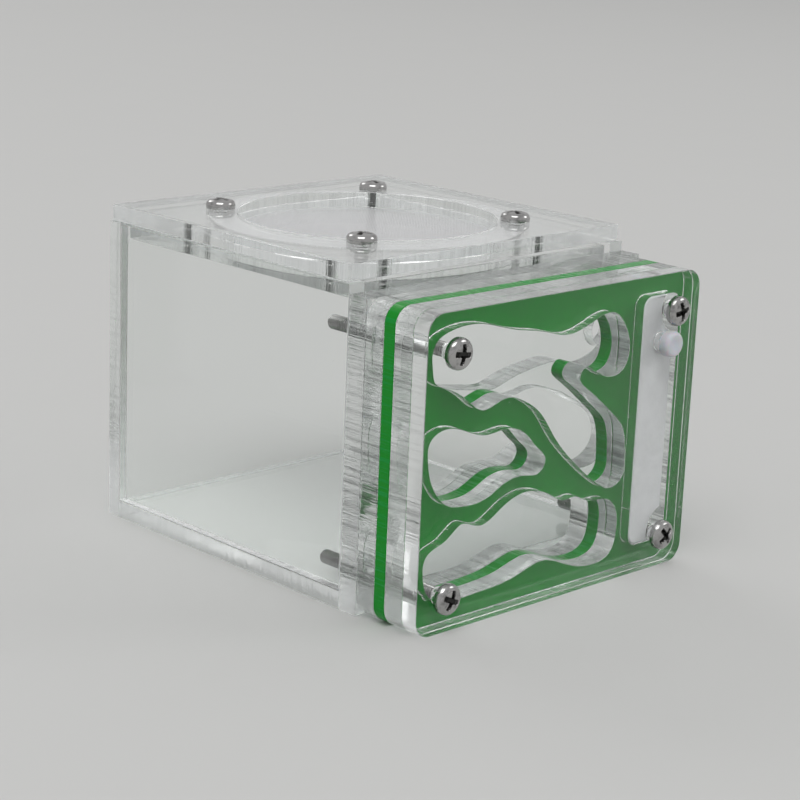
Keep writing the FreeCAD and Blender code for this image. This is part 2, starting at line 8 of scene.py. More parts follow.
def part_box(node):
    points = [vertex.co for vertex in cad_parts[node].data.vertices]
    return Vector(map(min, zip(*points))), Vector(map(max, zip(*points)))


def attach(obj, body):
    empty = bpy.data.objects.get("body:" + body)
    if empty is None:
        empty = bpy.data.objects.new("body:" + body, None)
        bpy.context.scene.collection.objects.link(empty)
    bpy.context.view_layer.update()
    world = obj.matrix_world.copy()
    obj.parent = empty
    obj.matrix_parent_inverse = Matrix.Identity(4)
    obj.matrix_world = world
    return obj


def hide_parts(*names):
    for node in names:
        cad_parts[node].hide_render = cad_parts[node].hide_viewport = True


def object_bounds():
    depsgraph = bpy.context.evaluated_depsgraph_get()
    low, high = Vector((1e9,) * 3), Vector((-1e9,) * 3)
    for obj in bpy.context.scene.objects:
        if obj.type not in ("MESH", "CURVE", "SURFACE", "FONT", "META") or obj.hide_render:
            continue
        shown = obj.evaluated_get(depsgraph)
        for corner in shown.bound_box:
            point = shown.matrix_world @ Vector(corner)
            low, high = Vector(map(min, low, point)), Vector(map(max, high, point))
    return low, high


bl_info = {
    "name": "Ant habitat",
    "version": (1, 0, 0),
    "blender": (4, 5, 0),
    "location": "3D View > Sidebar > Ant habitat",
    "description": "Dresses the ant habitat: sheets, screws, lock nuts, vent mesh, moisture strip and plug",
    "category": "Object",
}

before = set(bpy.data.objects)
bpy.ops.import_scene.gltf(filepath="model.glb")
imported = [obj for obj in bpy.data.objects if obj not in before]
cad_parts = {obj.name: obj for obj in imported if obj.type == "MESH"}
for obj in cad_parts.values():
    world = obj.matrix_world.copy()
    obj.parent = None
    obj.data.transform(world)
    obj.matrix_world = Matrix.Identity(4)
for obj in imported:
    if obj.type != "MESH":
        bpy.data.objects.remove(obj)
CAD_BOX = [list(corner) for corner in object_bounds()]

MM = 0.001
MICRONS = 1e6  # in a metre
QUARTER_TURN = math.pi / 2
FULL_TURN = 2 * math.pi
X, Y, Z = range(3)
AXIS_NAMES = "xyz"

# The axis across each flat sheet, and how its edges are cut.
CLEAR_SHEETS = {
    "box_base_plate": (Z, "polished"),
    "box_rear_wall": (Y, "polished"),
    "box_left_wall": (X, "glued"),
    "box_right_wall": (X, "glued"),
    "box_front_wall": (Y, "streaked"),
    "nest_rear_plate": (Y, "streaked"),
    "nest_gallery_plate": (Y, "streaked"),
    "nest_front_cover": (Y, "polished"),
    "lid_top_plate": (Z, "polished"),
    "lid_inner_plate": (Z, "polished"),
}
# For each kind of cut: its roughness where it is clean and where it is streaked, the depth of
# the streaks in millimetres, and the share of the light that a streak lets pass.
CUTS = {
    "polished": {"clean": 0.02, "rough": 0.16, "depth": 0.08, "pass": 0.80},
    "glued": {"clean": 0.30, "rough": 0.55, "depth": 0.05, "pass": 0.95},
    "streaked": {"clean": 0.03, "rough": 0.20, "depth": 0.30, "pass": 0.38},
}
LID_SHEETS = ("lid_top_plate", "lid_inner_plate")
# Faces that a neighbouring sheet is pressed against: the upper and the lower one along the axis.
PRESSED_FACES = {
    "box_front_wall": (False, True),
    "nest_rear_plate": (True, True),
    "nest_gallery_plate": (True, True),
    "nest_front_cover": (True, False),
}
# A sheet's materials, by their place in its list.
FACE, CUT, PRESSED = 0, 1, 2

ACRYLIC_IOR = 1.49
# How much a face mirrors what lies straight before it. A pressed face nearly touches the next.
MIRROR = {"polished": 0.3, "pressed": 0.0}
# The light of a lamp that passes a clear sheet's face and its cut edge.
LAMP_LIGHT = {"face": (0.965, 0.975, 0.97), "cut": (0.72, 0.75, 0.74)}

# How far each screw is turned about its axis, in degrees.
NEST_SCREW_TURNS = {1: -24.0, 2: -8.0, 3: 38.0, 4: 12.0}
LID_SCREW_TURNS = {1: 30.0, 2: 12.0, 3: 64.0, 4: 80.0}
# How a fastener's +Z is laid along each direction.
LAID_ALONG = {
    "-Y": Matrix(((1, 0, 0), (0, 0, -1), (0, 1, 0))),
    "+Y": Matrix(((-1, 0, 0), (0, 0, 1), (0, 1, 0))),
    "+Z": Matrix.Identity(3),
}

# Each lamp's place, its width and height in metres, and its share of the key lamp's power.
LAMPS = {
    "key": ((-0.95, -0.75, 2.3), 1.8, 1.4, 1.0),
    "fill": ((1.6, -1.2, 1.2), 0.9, 0.9, 0.25),
    "rear": ((0.2, 2.0, 1.5), 1.3, 0.8, 0.28),
}
LAMP_AIM = (0, 0, 0.03)
CAMERA_AIM = (-0.015905, -0.016699, 0.037458)
# How often light is followed through the stacked sheets.
BOUNCES = 40
TRANSPARENT_BOUNCES = 48


# ---- sizes and colours

def length(name, description, millimetres):
    return bpy.props.FloatProperty(name=name, description=description, default=millimetres * MM,
                                   min=0.0, unit="LENGTH", precision=5)


def colour(name, description, red, green, blue):
    return bpy.props.FloatVectorProperty(name=name, description=description, subtype="COLOR", size=3,
                                         min=0.0, max=1.0, default=(red, green, blue))


def angle(name, description, degrees):
    return bpy.props.FloatProperty(name=name, description=description, subtype="ANGLE",
                                   default=math.radians(degrees))


def amount(name, description, default):
    return bpy.props.FloatProperty(name=name, description=description, default=default, min=0.0)


class HabitatSheetSettings(bpy.types.PropertyGroup):
    """Sizes and colours of the clear and green sheets."""

    edge_bevel: length("Edge bevel", "How far the corners of a cut edge are broken", 0.16)
    air_gap: length("Air gap", "How far each sheet stays inside its nominal faces", 0.015)
    clear_tint: colour("Clear tint", "Colour that a clear sheet gives to light", 0.985, 0.995, 0.99)
    cut_tint: colour("Cut edge tint", "Colour that a cut edge gives to light", 0.96, 0.985, 0.975)
    green: colour("Green", "Colour of the green sheet", 0.0, 0.265, 0.012)
    green_light: colour("Light green", "Colour of the green sheet's cut edges", 0.0, 0.29, 0.04)


class HabitatFastenerSettings(bpy.types.PropertyGroup):
    """Sizes and colours of the screws and the lock nuts."""

    screw_radius: length("Screw radius", "Outer radius of the thread", 1.5)
    thread_pitch: length("Thread pitch", "Rise of the thread in one turn", 0.5)
    thread_depth: length("Thread depth", "Depth of the thread", 0.3)
    head_radius: length("Head radius", "Radius of the pan head", 3.2)
    head_height: length("Head height", "Height of the pan head", 2.2)
    head_round: length("Head rounding", "Width of the pan head's rounded shoulder", 1.05)
    head_dome: length("Head dome", "How far the middle of the head stands over its shoulder", 0.3)
    head_side: length("Head side", "Height of the head's upright side", 0.8)
    recess_reach: length("Recess reach", "Half the span of the cross recess", 2.0)
    recess_width: length("Recess width", "Half the width of an arm of the recess", 0.47)
    recess_depth: length("Recess depth", "Depth of the cross recess at its middle", 1.4)
    nut_flats: length("Nut flats", "Width of the nut across its flats", 5.5)
    nut_hexagon: length("Nut hexagon", "Height of the nut's hexagon", 2.7)
    nut_height: length("Nut height", "Height of the nut with its collar", 4.0)
    nut_collar: length("Nut collar", "Radius of the nut's collar", 2.5)
    ring_radius: length("Ring radius", "Outer radius of the nylon ring", 2.1)
    ring_height: length("Ring height", "Height of the nylon ring", 1.1)
    steel: colour("Steel", "Colour of the plated steel", 0.46, 0.455, 0.45)
    # Painted shade: the dark colour that the steel is mixed towards in the thread grooves and the cross
    # recess.
    steel_hollow: colour("Steel in hollows", "Colour of the steel in grooves and recesses", 0.05, 0.05, 0.048)
    nylon: colour("Nylon", "Colour of the nut's ring", 0.70, 0.74, 0.78)


class HabitatSoftSettings(bpy.types.PropertyGroup):
    """Sizes and colours of the mesh, the moisture strip and the plug."""

    mesh_pitch: length("Mesh pitch", "Distance between the wires", 0.5)
    mesh_wire: length("Wire", "Diameter of a wire", 0.22)
    mesh_thickness: length("Mesh thickness", "Thickness of the woven mesh", 0.36)
    wire_colour: colour("Wire colour", "Colour of the mesh wires", 0.93, 0.93, 0.94)
    strip_round: length("Strip rounding", "Radius of the strip's edges", 0.35)
    strip_colour: colour("Strip colour", "Colour of the moisture strip", 0.84, 0.84, 0.855)
    plug_head: length("Plug head", "Height of the plug's head", 2.5)
    plug_stem: length("Plug stem", "Radius of the plug's stem", 1.95)
    plug_colour: colour("Plug colour", "Colour of the soft plug", 0.66, 0.68, 0.73)


class HabitatStageSettings(bpy.types.PropertyGroup):
    """Camera, floor and lamps."""

    azimuth: angle("Azimuth", "Direction the camera looks in, from +Y towards +X", 44.279)
    elevation: angle("Elevation", "How far the camera looks down", 15.113)
    roll: angle("Roll", "How far the camera is turned about its line of sight", 2.397)
    distance: length("Distance", "From the camera to the point it looks at", 443.402)
    lens: bpy.props.FloatProperty(name="Lens", description="Focal length of the lens", default=96.947,
                                  unit="CAMERA")
    floor_colour: colour("Floor colour", "Colour of the floor", 0.62, 0.62, 0.61)
    background: amount("Background", "Brightness of what surrounds the stage", 0.58)
    room_light: amount("Room light", "Even light from all around", 0.5)
    key_light: amount("Key light", "Power of the large soft lamp, in watts", 24.0)


# ---- meshes

def new_object(name, points, faces, materials, smooth=True, indices=None, sharp=50.0):
    """A piece from corners and faces. Faces all point outwards when those of a closed shape do."""
    mesh = bpy.data.meshes.new(name)
    mesh.from_pydata(points.tolist(), [], faces)
    for material in materials:
        mesh.materials.append(material)
    if indices is not None:
        mesh.polygons.foreach_set("material_index", indices.astype(np.int32))
    mesh.set_sharp_from_angle(angle=math.radians(sharp))  # this makes every face smooth
    mesh.polygons.foreach_set("use_smooth", (np.zeros(len(faces), dtype=bool) | smooth).tolist())
    mesh.update()
    if mesh.validate():
        raise RuntimeError(f"{name} has faces that can't stand")
    piece = bpy.data.objects.new(name, mesh)
    bpy.context.scene.collection.objects.link(piece)
    return piece


def place(piece, body, slot, *nodes):
    """Makes a piece ride on its body in place of the CAD nodes it stands for."""
    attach(piece, body)
    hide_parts(*nodes)


def node_box(node):
    """The lowest and the highest corner of a CAD node."""
    return np.array(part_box(node))


def cad_triangles(node):
    """The corners of a CAD node without doubles, and its triangles."""
    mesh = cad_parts[node].data
    points = np.empty(len(mesh.vertices) * 3, dtype=np.float32)
    mesh.vertices.foreach_get("co", points)
    corners = np.empty(len(mesh.loops), dtype=np.int32)
    mesh.loops.foreach_get("vertex_index", corners)
    points = points.reshape(-1, 3).astype(float)
    _, first, same = np.unique(np.round(points * MICRONS).astype(np.int64), axis=0,
                               return_index=True, return_inverse=True)
    return points[first], same.reshape(-1)[corners].reshape(-1, 3)


def sheet_cap(node, axis):
    """The upper face of a flat node along an axis: its points in the plane, its triangles,
    the directed edges of its outlines with the sheet on their left, and its two heights."""
    points, triangles = cad_triangles(node)
    low, high = points[:, axis].min(), points[:, axis].max()
    on_top = (np.abs(points[triangles, axis] - high) < 1 / MICRONS).all(axis=1)
    used, cap = np.unique(triangles[on_top], return_inverse=True)
    cap = cap.reshape(-1, 3)
    flat = points[used][:, [(axis + 1) % 3, (axis + 2) % 3]]
    edges = np.concatenate([cap[:, [0, 1]], cap[:, [1, 2]], cap[:, [2, 0]]])
    forward = edges[:, 0] * len(flat) + edges[:, 1]
    backward = edges[:, 1] * len(flat) + edges[:, 0]
    return flat, cap, edges[~np.isin(forward, backward)], low, high


def outward_offsets(flat, edges):
    """For each point of the outlines, the vector in the plane by which it moves when every
    outline moves out by 1: the sum of its two edges' normals over half the sum's square."""
    along = flat[edges[:, 1]] - flat[edges[:, 0]]
    normals = np.column_stack([along[:, 1], -along[:, 0]])
    normals /= np.linalg.norm(normals, axis=1)[:, None]
    total = np.zeros_like(flat)
    for end in (0, 1):
        np.add.at(total, edges[:, end], normals)
    least = 0.5  # holds the offset of a very sharp corner back
    square = np.maximum((total ** 2).sum(axis=1), least)
    return total * (2 / square)[:, None]


def rim_profile(bevel, gap, thickness, steps):
    """The profile carried along a sheet's outlines, as depth inside the outline and height
    over the lower face: a quarter circle, the straight cut and another quarter circle.
    A narrow row next to each quarter circle keeps its shading off the straight cut."""
    turn = np.linspace(0, QUARTER_TURN, steps + 1)
    inside = bevel * (1 - np.sin(turn))
    down = bevel * (1 - np.cos(turn))
    narrow_row = 0.05 * MM
    hold = bevel + narrow_row
    straight = [thickness - gap - hold, gap + hold]
    inside = np.concatenate([inside, [0, 0], inside[::-1]])
    height = np.concatenate([thickness - gap - down, straight, gap + down[::-1]])
    return inside + gap, height


def sheet_piece(name, node, axis, bevel, gap, materials, steps=2, pressed=(False, False)):
    """A flat sheet: the node's own outlines with the rim profile carried along them, and the
    two faces between. The rim has the material of cut edges, and a face its own or a pressed one's."""
    flat, cap, edges, low, high = sheet_cap(node, axis)
    offsets = outward_offsets(flat, edges)
    inside, height = rim_profile(bevel, gap, high - low, steps)
    rows, count = len(inside), len(flat)
    grid = np.empty((rows, count, 3))
    grid[:, :, [(axis + 1) % 3, (axis + 2) % 3]] = flat - inside[:, None, None] * offsets
    grid[:, :, axis] = low + height[:, None]
    first, second = edges[:, 0], edges[:, 1]
    row = (np.arange(rows - 1) * count)[:, None]
    rim = np.stack([row + second, row + first, row + count + first, row + count + second], axis=2)
    parts = (cap, cap[:, ::-1] + (rows - 1) * count, rim.reshape(-1, 4))
    used = np.unique(np.concatenate([part.ravel() for part in parts]))
    faces = [face for part in parts for face in np.searchsorted(used, part).tolist()]
    upper, lower = (PRESSED if side else FACE for side in pressed)
    kinds = np.repeat([upper, lower, CUT], [len(part) for part in parts])
    points = grid.reshape(-1, 3)[used]
    return new_object(name, points, faces, materials, smooth=kinds == CUT, indices=kinds)


def six_volumes(points, faces):
    """Six times the volume under some faces. Each face is a fan of triangles, and a triangle
    adds its first corner times the cross product of the other two."""
    first, *others = (points[faces[:, k]] for k in range(faces.shape[1]))
    return sum((first * np.cross(b, c)).sum() for b, c in zip(others, others[1:]))


def facing_out(points, *shells):
    """Corners and faces of a closed shape, with its faces turned over if they point inwards."""
    if sum(six_volumes(points, faces) for faces in shells) < 0:
        shells = [faces[:, ::-1] for faces in shells]
    return points, [face for faces in shells for face in faces.tolist()]


def ring_faces(count, around):
    """The faces from each ring of points to the next, and from the last ring to the first."""
    here = np.arange(around)
    following = np.roll(here, -1)
    row = (np.arange(count) * around)[:, None]
    below = np.roll(row, -1, axis=0)
    return np.stack([row + here, row + following, below + following, below + here], axis=2)


def ring_surface(rows):
    """Corners and faces of a closed shape from its rings, as rows of points that go round.
    The first and the last ring are closed by a point at their middle. These two come last."""
    count, around = rows.shape[:2]
    sides, middle = ring_faces(count, around), np.full(around, count * around)
    caps = np.concatenate([np.stack([middle, sides[0, :, 1], sides[0, :, 0]], axis=1),
                           np.stack([middle + 1, sides[-1, :, 0], sides[-1, :, 1]], axis=1)])
    points = np.concatenate([rows.reshape(-1, 3), rows[:1].mean(axis=1), rows[-1:].mean(axis=1)])
    return facing_out(points, sides[:-1].reshape(-1, 4), caps)


def loop_surface(rows):
    """As ring_surface, for a shape whose last ring joins its first, such as a washer."""
    return facing_out(rows.reshape(-1, 3), ring_faces(*rows.shape[:2]).reshape(-1, 4))


def joined(first, second):
    """Two shapes as one."""
    (points, faces), (more_points, more_faces) = first, second
    moved = [[len(points) + corner for corner in face] for face in more_faces]
    return np.concatenate([points, more_points]), faces + moved


def angles_round(around):
    return np.linspace(0, FULL_TURN, around, endpoint=False)


def turned_rings(radius, height, around):
    """Rings of a turned shape: a profile of radius and height carried round the Z axis. Each is
    one value for a ring, or one for each of its points."""
    angles = angles_round(around)
    rows = np.empty((len(radius), around, 3))
    radius, rows[:, :, Z] = (np.reshape(values, (len(values), -1)) for values in (radius, height))
    rows[:, :, X] = radius * np.cos(angles)
    rows[:, :, Y] = radius * np.sin(angles)
    return rows


def seated(points, node, outward, inside, turn=0.0):
    """Points turned about the Z axis, with +Z laid along outward through the middle of a node's
    box, and z = 0 some way inside the box's outward end."""
    low, high = node_box(node)
    at, axis = (low + high) / 2, AXIS_NAMES.index(outward[1].lower())
    at[axis] = low[axis] + inside if outward[0] == "-" else high[axis] - inside
    return points @ np.array(LAID_ALONG[outward] @ Matrix.Rotation(turn, 3, "Z")).T + at


def smoothstep(low, high, value):
    """0 below low, 1 above high, and 3 squares less 2 cubes of the share between them."""
    share = np.clip((value - low) / (high - low), 0, 1)
    return share * share * (3 - 2 * share)


def screw_head(settings):
    """A pan head over z = 0, as rings from the middle of its top to its underside. Height is
    a parabola over the dome, then a quarter ellipse down to the side. From it goes the cross
    recess: its depth falls off along each arm and is cut off steeply at the arm's sides and end.
    With it comes the painted shade of each corner: none outside the recess, and full from half the recess's
    depth."""
    radius, rounding, side = settings.head_radius, settings.head_round, settings.head_side
    top, shoulder = settings.head_height, settings.head_height - settings.head_dome
    pole, soft, fall = 0.03 * MM, 0.07 * MM, 0.55
    under = ((radius, 0.24 * MM), (radius - 0.04 * MM, 0.08 * MM), (radius - 0.22 * MM, 0.0),
             (settings.screw_radius * 0.6, 0.0))
    under_out, under_up = zip(*under)
    flat = np.linspace(pole, radius - rounding, 34)
    turn = np.linspace(0, QUARTER_TURN, 12)[1:]
    out = np.concatenate([flat, radius - rounding + rounding * np.sin(turn), under_out])
    up = np.concatenate([top - settings.head_dome * (flat / flat[-1]) ** 2,
                         shoulder - (shoulder - side) * (1 - np.cos(turn)), under_up])
    rows = turned_rings(out, up, 96)
    x, y = rows[:, :, X], rows[:, :, Y]
    reach = np.hypot(x, y)
    arms = np.maximum(smoothstep(-soft, soft, settings.recess_width - np.abs(x)),
                      smoothstep(-soft, soft, settings.recess_width - np.abs(y)))
    within = smoothstep(-soft, soft, settings.recess_reach - reach)
    slope = 1 - fall * np.clip(reach / settings.recess_reach, 0, 1)
    cut = settings.recess_depth * slope * arms * within
    cut[-len(under):] = 0
    rows[:, :, Z] -= cut
    # The second result is painted shade in the cross recess, one value for each point and two for the middle
    # points.
    return ring_surface(rows), np.append(np.clip(2 * cut / settings.recess_depth, 0, 1), [1, 0])


def screw_thread(settings, run):
    """A threaded shank below z = 0. Its radius is the core's plus a triangle wave with cut
    crests that climbs one pitch in each turn. The wave fades in over the first turn, and a
    cone cuts the tip. With it comes the painted shade of each corner, which grows with its depth in the
    groove."""
    around, rows_in_turn = 24, 8
    pitch, depth, outside = settings.thread_pitch, settings.thread_depth, settings.screw_radius
    crest, flank, neck, tip, tip_cut, groove_shade = 1.25, 3.0, 0.25, 0.6 * MM, 1.5, 0.6
    height = np.linspace(0.0, -run, int(round(run / pitch)) * rows_in_turn + 1)[:, None]
    phase = (height / pitch - angles_round(around)[None, :] / FULL_TURN) % 1.0
    wave = np.clip(crest - np.abs(phase - 0.5) * flank, 0, 1)
    fade = smoothstep(0.0, pitch, -height)
    threaded = outside - depth * (1 - wave) * fade - depth * neck * (1 - fade)
    cone = outside - depth * tip_cut * (1 - np.clip((run + height) / tip, 0, 1))
    rows = turned_rings(np.minimum(threaded, cone), height, around)
    # The second result is painted shade in the thread's grooves, one value for each point and none at the two
    # middle points.
    return ring_surface(rows), np.append(groove_shade * (1 - wave) * fade, [0, 0])


def build_screw(node, body, outward, turn):
    """A screw in place of its node, its head at the outward end and turned by some degrees."""
    settings = bpy.context.scene.habitat_fasteners
    run = np.ptp(node_box(node), axis=0).max() - settings.head_height
    (head, recess_shade), (shank, thread_shade) = screw_head(settings), screw_thread(settings, run)
    points, faces = joined(head, shank)
    points = seated(points, node, outward, settings.head_height, math.radians(turn))
    piece = new_object(f"{node}_steel", points, faces, [once(plated_steel)], sharp=48.0)
    # The attribute holds painted shade for the cross recess and the thread grooves, which darkens the steel's
    # colour.
    painted_shade = piece.data.attributes.new("painted_shade", "FLOAT", "POINT")
    painted_shade.data.foreach_set("value", np.concatenate([recess_shade, thread_shade]))
    place(piece, body, "steel", node)


def build_nut(node, settings):
    """A lock nut over z = 0. The hexagon's radius is half the flats over the cosine of the
    angle from the nearest flat, cut by a cone at its foot; above it the round collar turns
    in over the nylon ring, and the bore goes back down."""
    around, sixth = 96, FULL_TURN / 6
    from_flat = (angles_round(around) + sixth / 2) % sixth - sixth / 2
    hexagon = settings.nut_flats / 2 / np.cos(from_flat)
    corner = settings.nut_flats / 2 / math.cos(sixth / 2)
    top, end, collar = settings.nut_hexagon, settings.nut_height, settings.nut_collar
    seat, lip = end - settings.ring_height, settings.ring_radius - 0.05 * MM
    bore = settings.screw_radius * 1.03
    # Each share of the corner's radius cuts the hexagon off at its height.
    cuts = [(0.90, 0.0), (0.985, 0.3 * MM), (1.1, 0.5 * MM), (1.1, top - 0.45 * MM),
            (0.97, top - 0.22 * MM), (0.90, top)]
    turn, rounding = np.linspace(0, QUARTER_TURN, 6), 0.45 * MM
    turned = [(collar + 0.08 * MM, top + 0.02 * MM), (collar, top + 0.15 * MM),
              *zip(collar - rounding * (1 - np.cos(turn)), end - rounding * (1 - np.sin(turn))),
              (lip, end - 0.02 * MM), (lip, seat), (bore, seat - 0.1 * MM), (bore, 0.0)]
    radii = [np.minimum(hexagon, corner * share) for share, _height in cuts]
    radii += [np.full(around, radius) for radius, _height in turned]
    heights = [height for _radius, height in cuts + turned]
    points, faces = loop_surface(turned_rings(radii, heights, around))
    points = seated(points, node, "+Y", end)
    piece = new_object(f"{node}_steel", points, faces, [once(zinc_steel)], sharp=28.0)
    place(piece, "habitat", "nut_steel", node)


def build_nut_ring(nut, node, settings):
    """The nylon ring in the end of a lock nut: a rounded rectangle carried round the axis."""
    gap = 0.06 * MM
    outer, inner = settings.ring_radius - gap, settings.screw_radius * 1.015
    top, low = settings.nut_height - gap, settings.nut_height - settings.ring_height + gap / 2
    radius = [inner, inner + 0.12 * MM, outer - 0.1 * MM, outer, outer, inner]
    height = [top - 0.14 * MM, top, top, top - 0.1 * MM, low, low]
    points, faces = loop_surface(turned_rings(radius, height, 48))
    points = seated(points, nut, "+Y", settings.nut_height)
    piece = new_object(f"{nut}_nylon", points, faces, [once(nylon)], sharp=40.0)
    place(piece, "habitat", "nylon", node)


def plug_button(settings, radius, depth):
    """A plug over z = 0 and its stem below: a crown with a shallow dimple, a quarter ellipse
    down to the head's side, a short undercut, and a stem whose end is a quarter circle."""
    head, stem, crown = settings.plug_head, settings.plug_stem, 0.72
    dimple, shoulder, tip = 0.16 * MM, 0.95 * MM, 0.35 * MM
    turn = np.linspace(0, QUARTER_TURN, 14)
    dome = np.linspace(0.02, crown, 14)
    out = np.concatenate([dome * radius, radius * (crown + (1 - crown) * np.sin(turn[1:])),
                          [radius, radius - 0.12 * MM, stem + 0.25 * MM, stem, stem],
                          stem - tip * (1 - np.cos(turn[::3]))])
    up = np.concatenate([head - dimple * (1 - smoothstep(0.1, 0.62, dome)),
                         head - shoulder * (1 - np.cos(turn[1:])),
                         [0.3 * MM, 0.03 * MM, 0.02 * MM, -0.25 * MM, tip - depth],
                         tip * (1 - np.sin(turn[::3])) - depth])
    return ring_surface(turned_rings(out, up, 64))


# ---- nodes of materials

class Wires:
    """Makes and joins the nodes of one material or group."""

    def __init__(self, tree):
        self.tree = tree

    def add(self, kind, settings=None, **inputs):
        node = self.tree.nodes.new(kind)
        for name, value in (settings or {}).items():
            setattr(node, name, value)
        self.feed_all(node, inputs)
        return node

    def feed(self, socket, value):
        if isinstance(value, bpy.types.NodeSocket):
            self.tree.links.new(value, socket)
        else:
            socket.default_value = value

    def feed_all(self, node, inputs):
        """Feeds a node's inputs, whose names have a low line for each space."""
        for name, value in inputs.items():
            self.feed(node.inputs[name.replace("_", " ")], value)

    def math(self, operation, *values):
        node = self.add("ShaderNodeMath", {"operation": operation})
        for socket, value in zip(node.inputs, values):
            self.feed(socket, value)
        return node.outputs[0]

    def times(self, first, second):
        return self.math("MULTIPLY", first, second)

    def larger(self, first, second):
        return self.math("MAXIMUM", first, second)

    def between(self, share, low, high):
        """Goes from low to high with the share."""
        return self.math("MULTIPLY_ADD", share, self.math("SUBTRACT", high, low), low)

    def vector(self, operation, first, second):
        node = self.add("ShaderNodeVectorMath", {"operation": operation})
        self.feed(node.inputs[0], first)
        self.feed(node.inputs["Scale" if operation == "SCALE" else 1], second)
        return node.outputs[0]

    def noise(self, scale, detail=2.0, roughness=0.5, at=None, output="Fac"):
        """Noise over the place in millimetres or another vector."""
        node = self.add("ShaderNodeTexNoise", Vector=self.place_in if at is None else at, Scale=scale,
                        Detail=detail, Roughness=roughness)
        return node.outputs[output]

    def spread(self, value, low, high, to_low=0.0, to_high=1.0):
        """Goes smoothly from to_low to to_high while the value goes from low to high."""
        node = self.add("ShaderNodeMapRange", {"interpolation_type": "SMOOTHSTEP"}, Value=value,
                        From_Min=low, From_Max=high, To_Min=to_low, To_Max=to_high)
        return node.outputs["Result"]

    def mix(self, share, first, second):
        """Goes from the first colour to the second with the share."""
        node = self.add("ShaderNodeMix", {"data_type": "RGBA"}, Factor=share)
        colours = (socket for socket in node.inputs if socket.type == "RGBA")
        for socket, value in zip(colours, (first, second)):
            self.feed(socket, value)
        return next(socket for socket in node.outputs if socket.type == "RGBA")


class Group(Wires):
    """A shader node group. Its inputs are the place in millimetres, and others with the names
    and defaults that it is made with."""

    kinds = {1: "NodeSocketFloat", 3: "NodeSocketVector", 4: "NodeSocketColor"}

    def __init__(self, name, **inputs):
        super().__init__(bpy.data.node_groups.new(name, "ShaderNodeTree"))
        for label, default in {"Millimetres": (0, 0, 0), **inputs}.items():
            socket = self.tree.interface.new_socket(label.replace("_", " "), in_out="INPUT",
                                                    socket_type=self.kinds[np.size(default)])
            socket.default_value = default
        self.given = self.add("NodeGroupInput").outputs
        self.place_in = self.given["Millimetres"]

    def results(self, **values):
        """Ends the group with its outputs. Color is a colour, and any other is a number."""
        for label in values:
            kind = self.kinds[4 if label == "Color" else 1]
            self.tree.interface.new_socket(label, in_out="OUTPUT", socket_type=kind)
        self.add("NodeGroupOutput", **values)
        return self.tree


class Surface(Wires):
    """A material with a Principled shader, whose plain values are set on its own sockets.
    place_in holds the object's coordinates in millimetres."""

    def __init__(self, name, **plain_values):
        self.material = bpy.data.materials.new(name)
        self.material.use_nodes = True
        self.material.node_tree.nodes.clear()
        super().__init__(self.material.node_tree)
        self.shader = self.add("ShaderNodeBsdfPrincipled", **plain_values)
        self.output = self.add("ShaderNodeOutputMaterial", Surface=self.shader.outputs[0])
        coordinates = self.add("ShaderNodeTexCoord").outputs["Object"]
        self.place_in = self.vector("SCALE", coordinates, 1 / MM)

    def group(self, maker, finer=1.0, **inputs):
        """The outputs of an effect that materials share, built the first time one asks for it.
        Its pattern can be some times finer."""
        tree = bpy.data.node_groups.get(maker.__name__) or maker(maker.__name__)
        place_in = self.place_in if finer == 1.0 else self.vector("SCALE", self.place_in, finer)
        return self.add("ShaderNodeGroup", {"node_tree": tree}, Millimetres=place_in, **inputs).outputs

    def let_lamps_through(self, tint):
        """Rays from lamps pass the clear sheet straight, tinted, so that it lights what it covers."""
        clear = self.add("ShaderNodeBsdfTransparent", Color=opaque(tint))
        from_lamp = self.add("ShaderNodeLightPath").outputs["Is Shadow Ray"]
        mixed = self.add("ShaderNodeMixShader")
        for socket, value in zip(mixed.inputs, (from_lamp, self.shader.outputs[0], clear.outputs[0])):
            self.feed(socket, value)
        self.feed(self.output.inputs["Surface"], mixed.outputs[0])

    def finish(self, height=None, depth=None, **inputs):
        """Feeds the shader, with a relief of some millimetres if there is one."""
        self.feed_all(self.shader, inputs)
        if height is not None:
            bump = self.add("ShaderNodeBump", Strength=1.0, Distance=depth * MM, Height=height)
            self.feed(self.shader.inputs["Normal"], bump.outputs[0])
        return self.material


def opaque(rgb, share=1.0):
    return (*(share * value for value in rgb), 1.0)


def once(maker, *values, name=None):
    """The material of that name, or of its maker's, made the first time it is asked for."""
    name = name or maker.__name__
    return bpy.data.materials.get(name) or maker(name, *values)


# ---- effects that materials share

def cut_streaks(name):
    """Streaks that a cutting beam leaves across a sheet's edge. In Plane has 0 along the
    sheet's thickness, so the streaks run straight through it; Wander bends them a little."""
    wires = Group(name, In_Plane=(1, 1, 0), Wander=0.12, Clean_Roughness=0.05, Rough_Roughness=0.3)
    given = wires.given
    drift = wires.noise(0.35, 1.0, output="Color")
    drift = wires.vector("SCALE", wires.vector("SUBTRACT", drift, (0.5, 0.5, 0.5)), given["Wander"])
    flat = wires.vector("MULTIPLY", wires.vector("ADD", wires.place_in, drift), given["In Plane"])
    broad = wires.noise(0.9, 1.0, at=flat)
    fine = wires.noise(2.1, roughness=0.6, at=flat)
    hair = wires.noise(7.0, 1.0, at=flat)
    height = wires.math("ADD", wires.times(broad, 1.1), wires.times(fine, 0.7))
    height = wires.math("ADD", height, wires.times(hair, 0.12))
    streak = wires.spread(wires.math("MULTIPLY_ADD", broad, 0.5, wires.times(fine, 0.5)), 0.46, 0.58)
    cloudy = wires.spread(wires.noise(0.16), 0.35, 0.62, to_low=0.45)
    share = wires.times(streak, cloudy)
    rough = wires.between(share, given["Clean Roughness"], given["Rough Roughness"])
    return wires.results(Height=height, Roughness=rough, Streak=share)


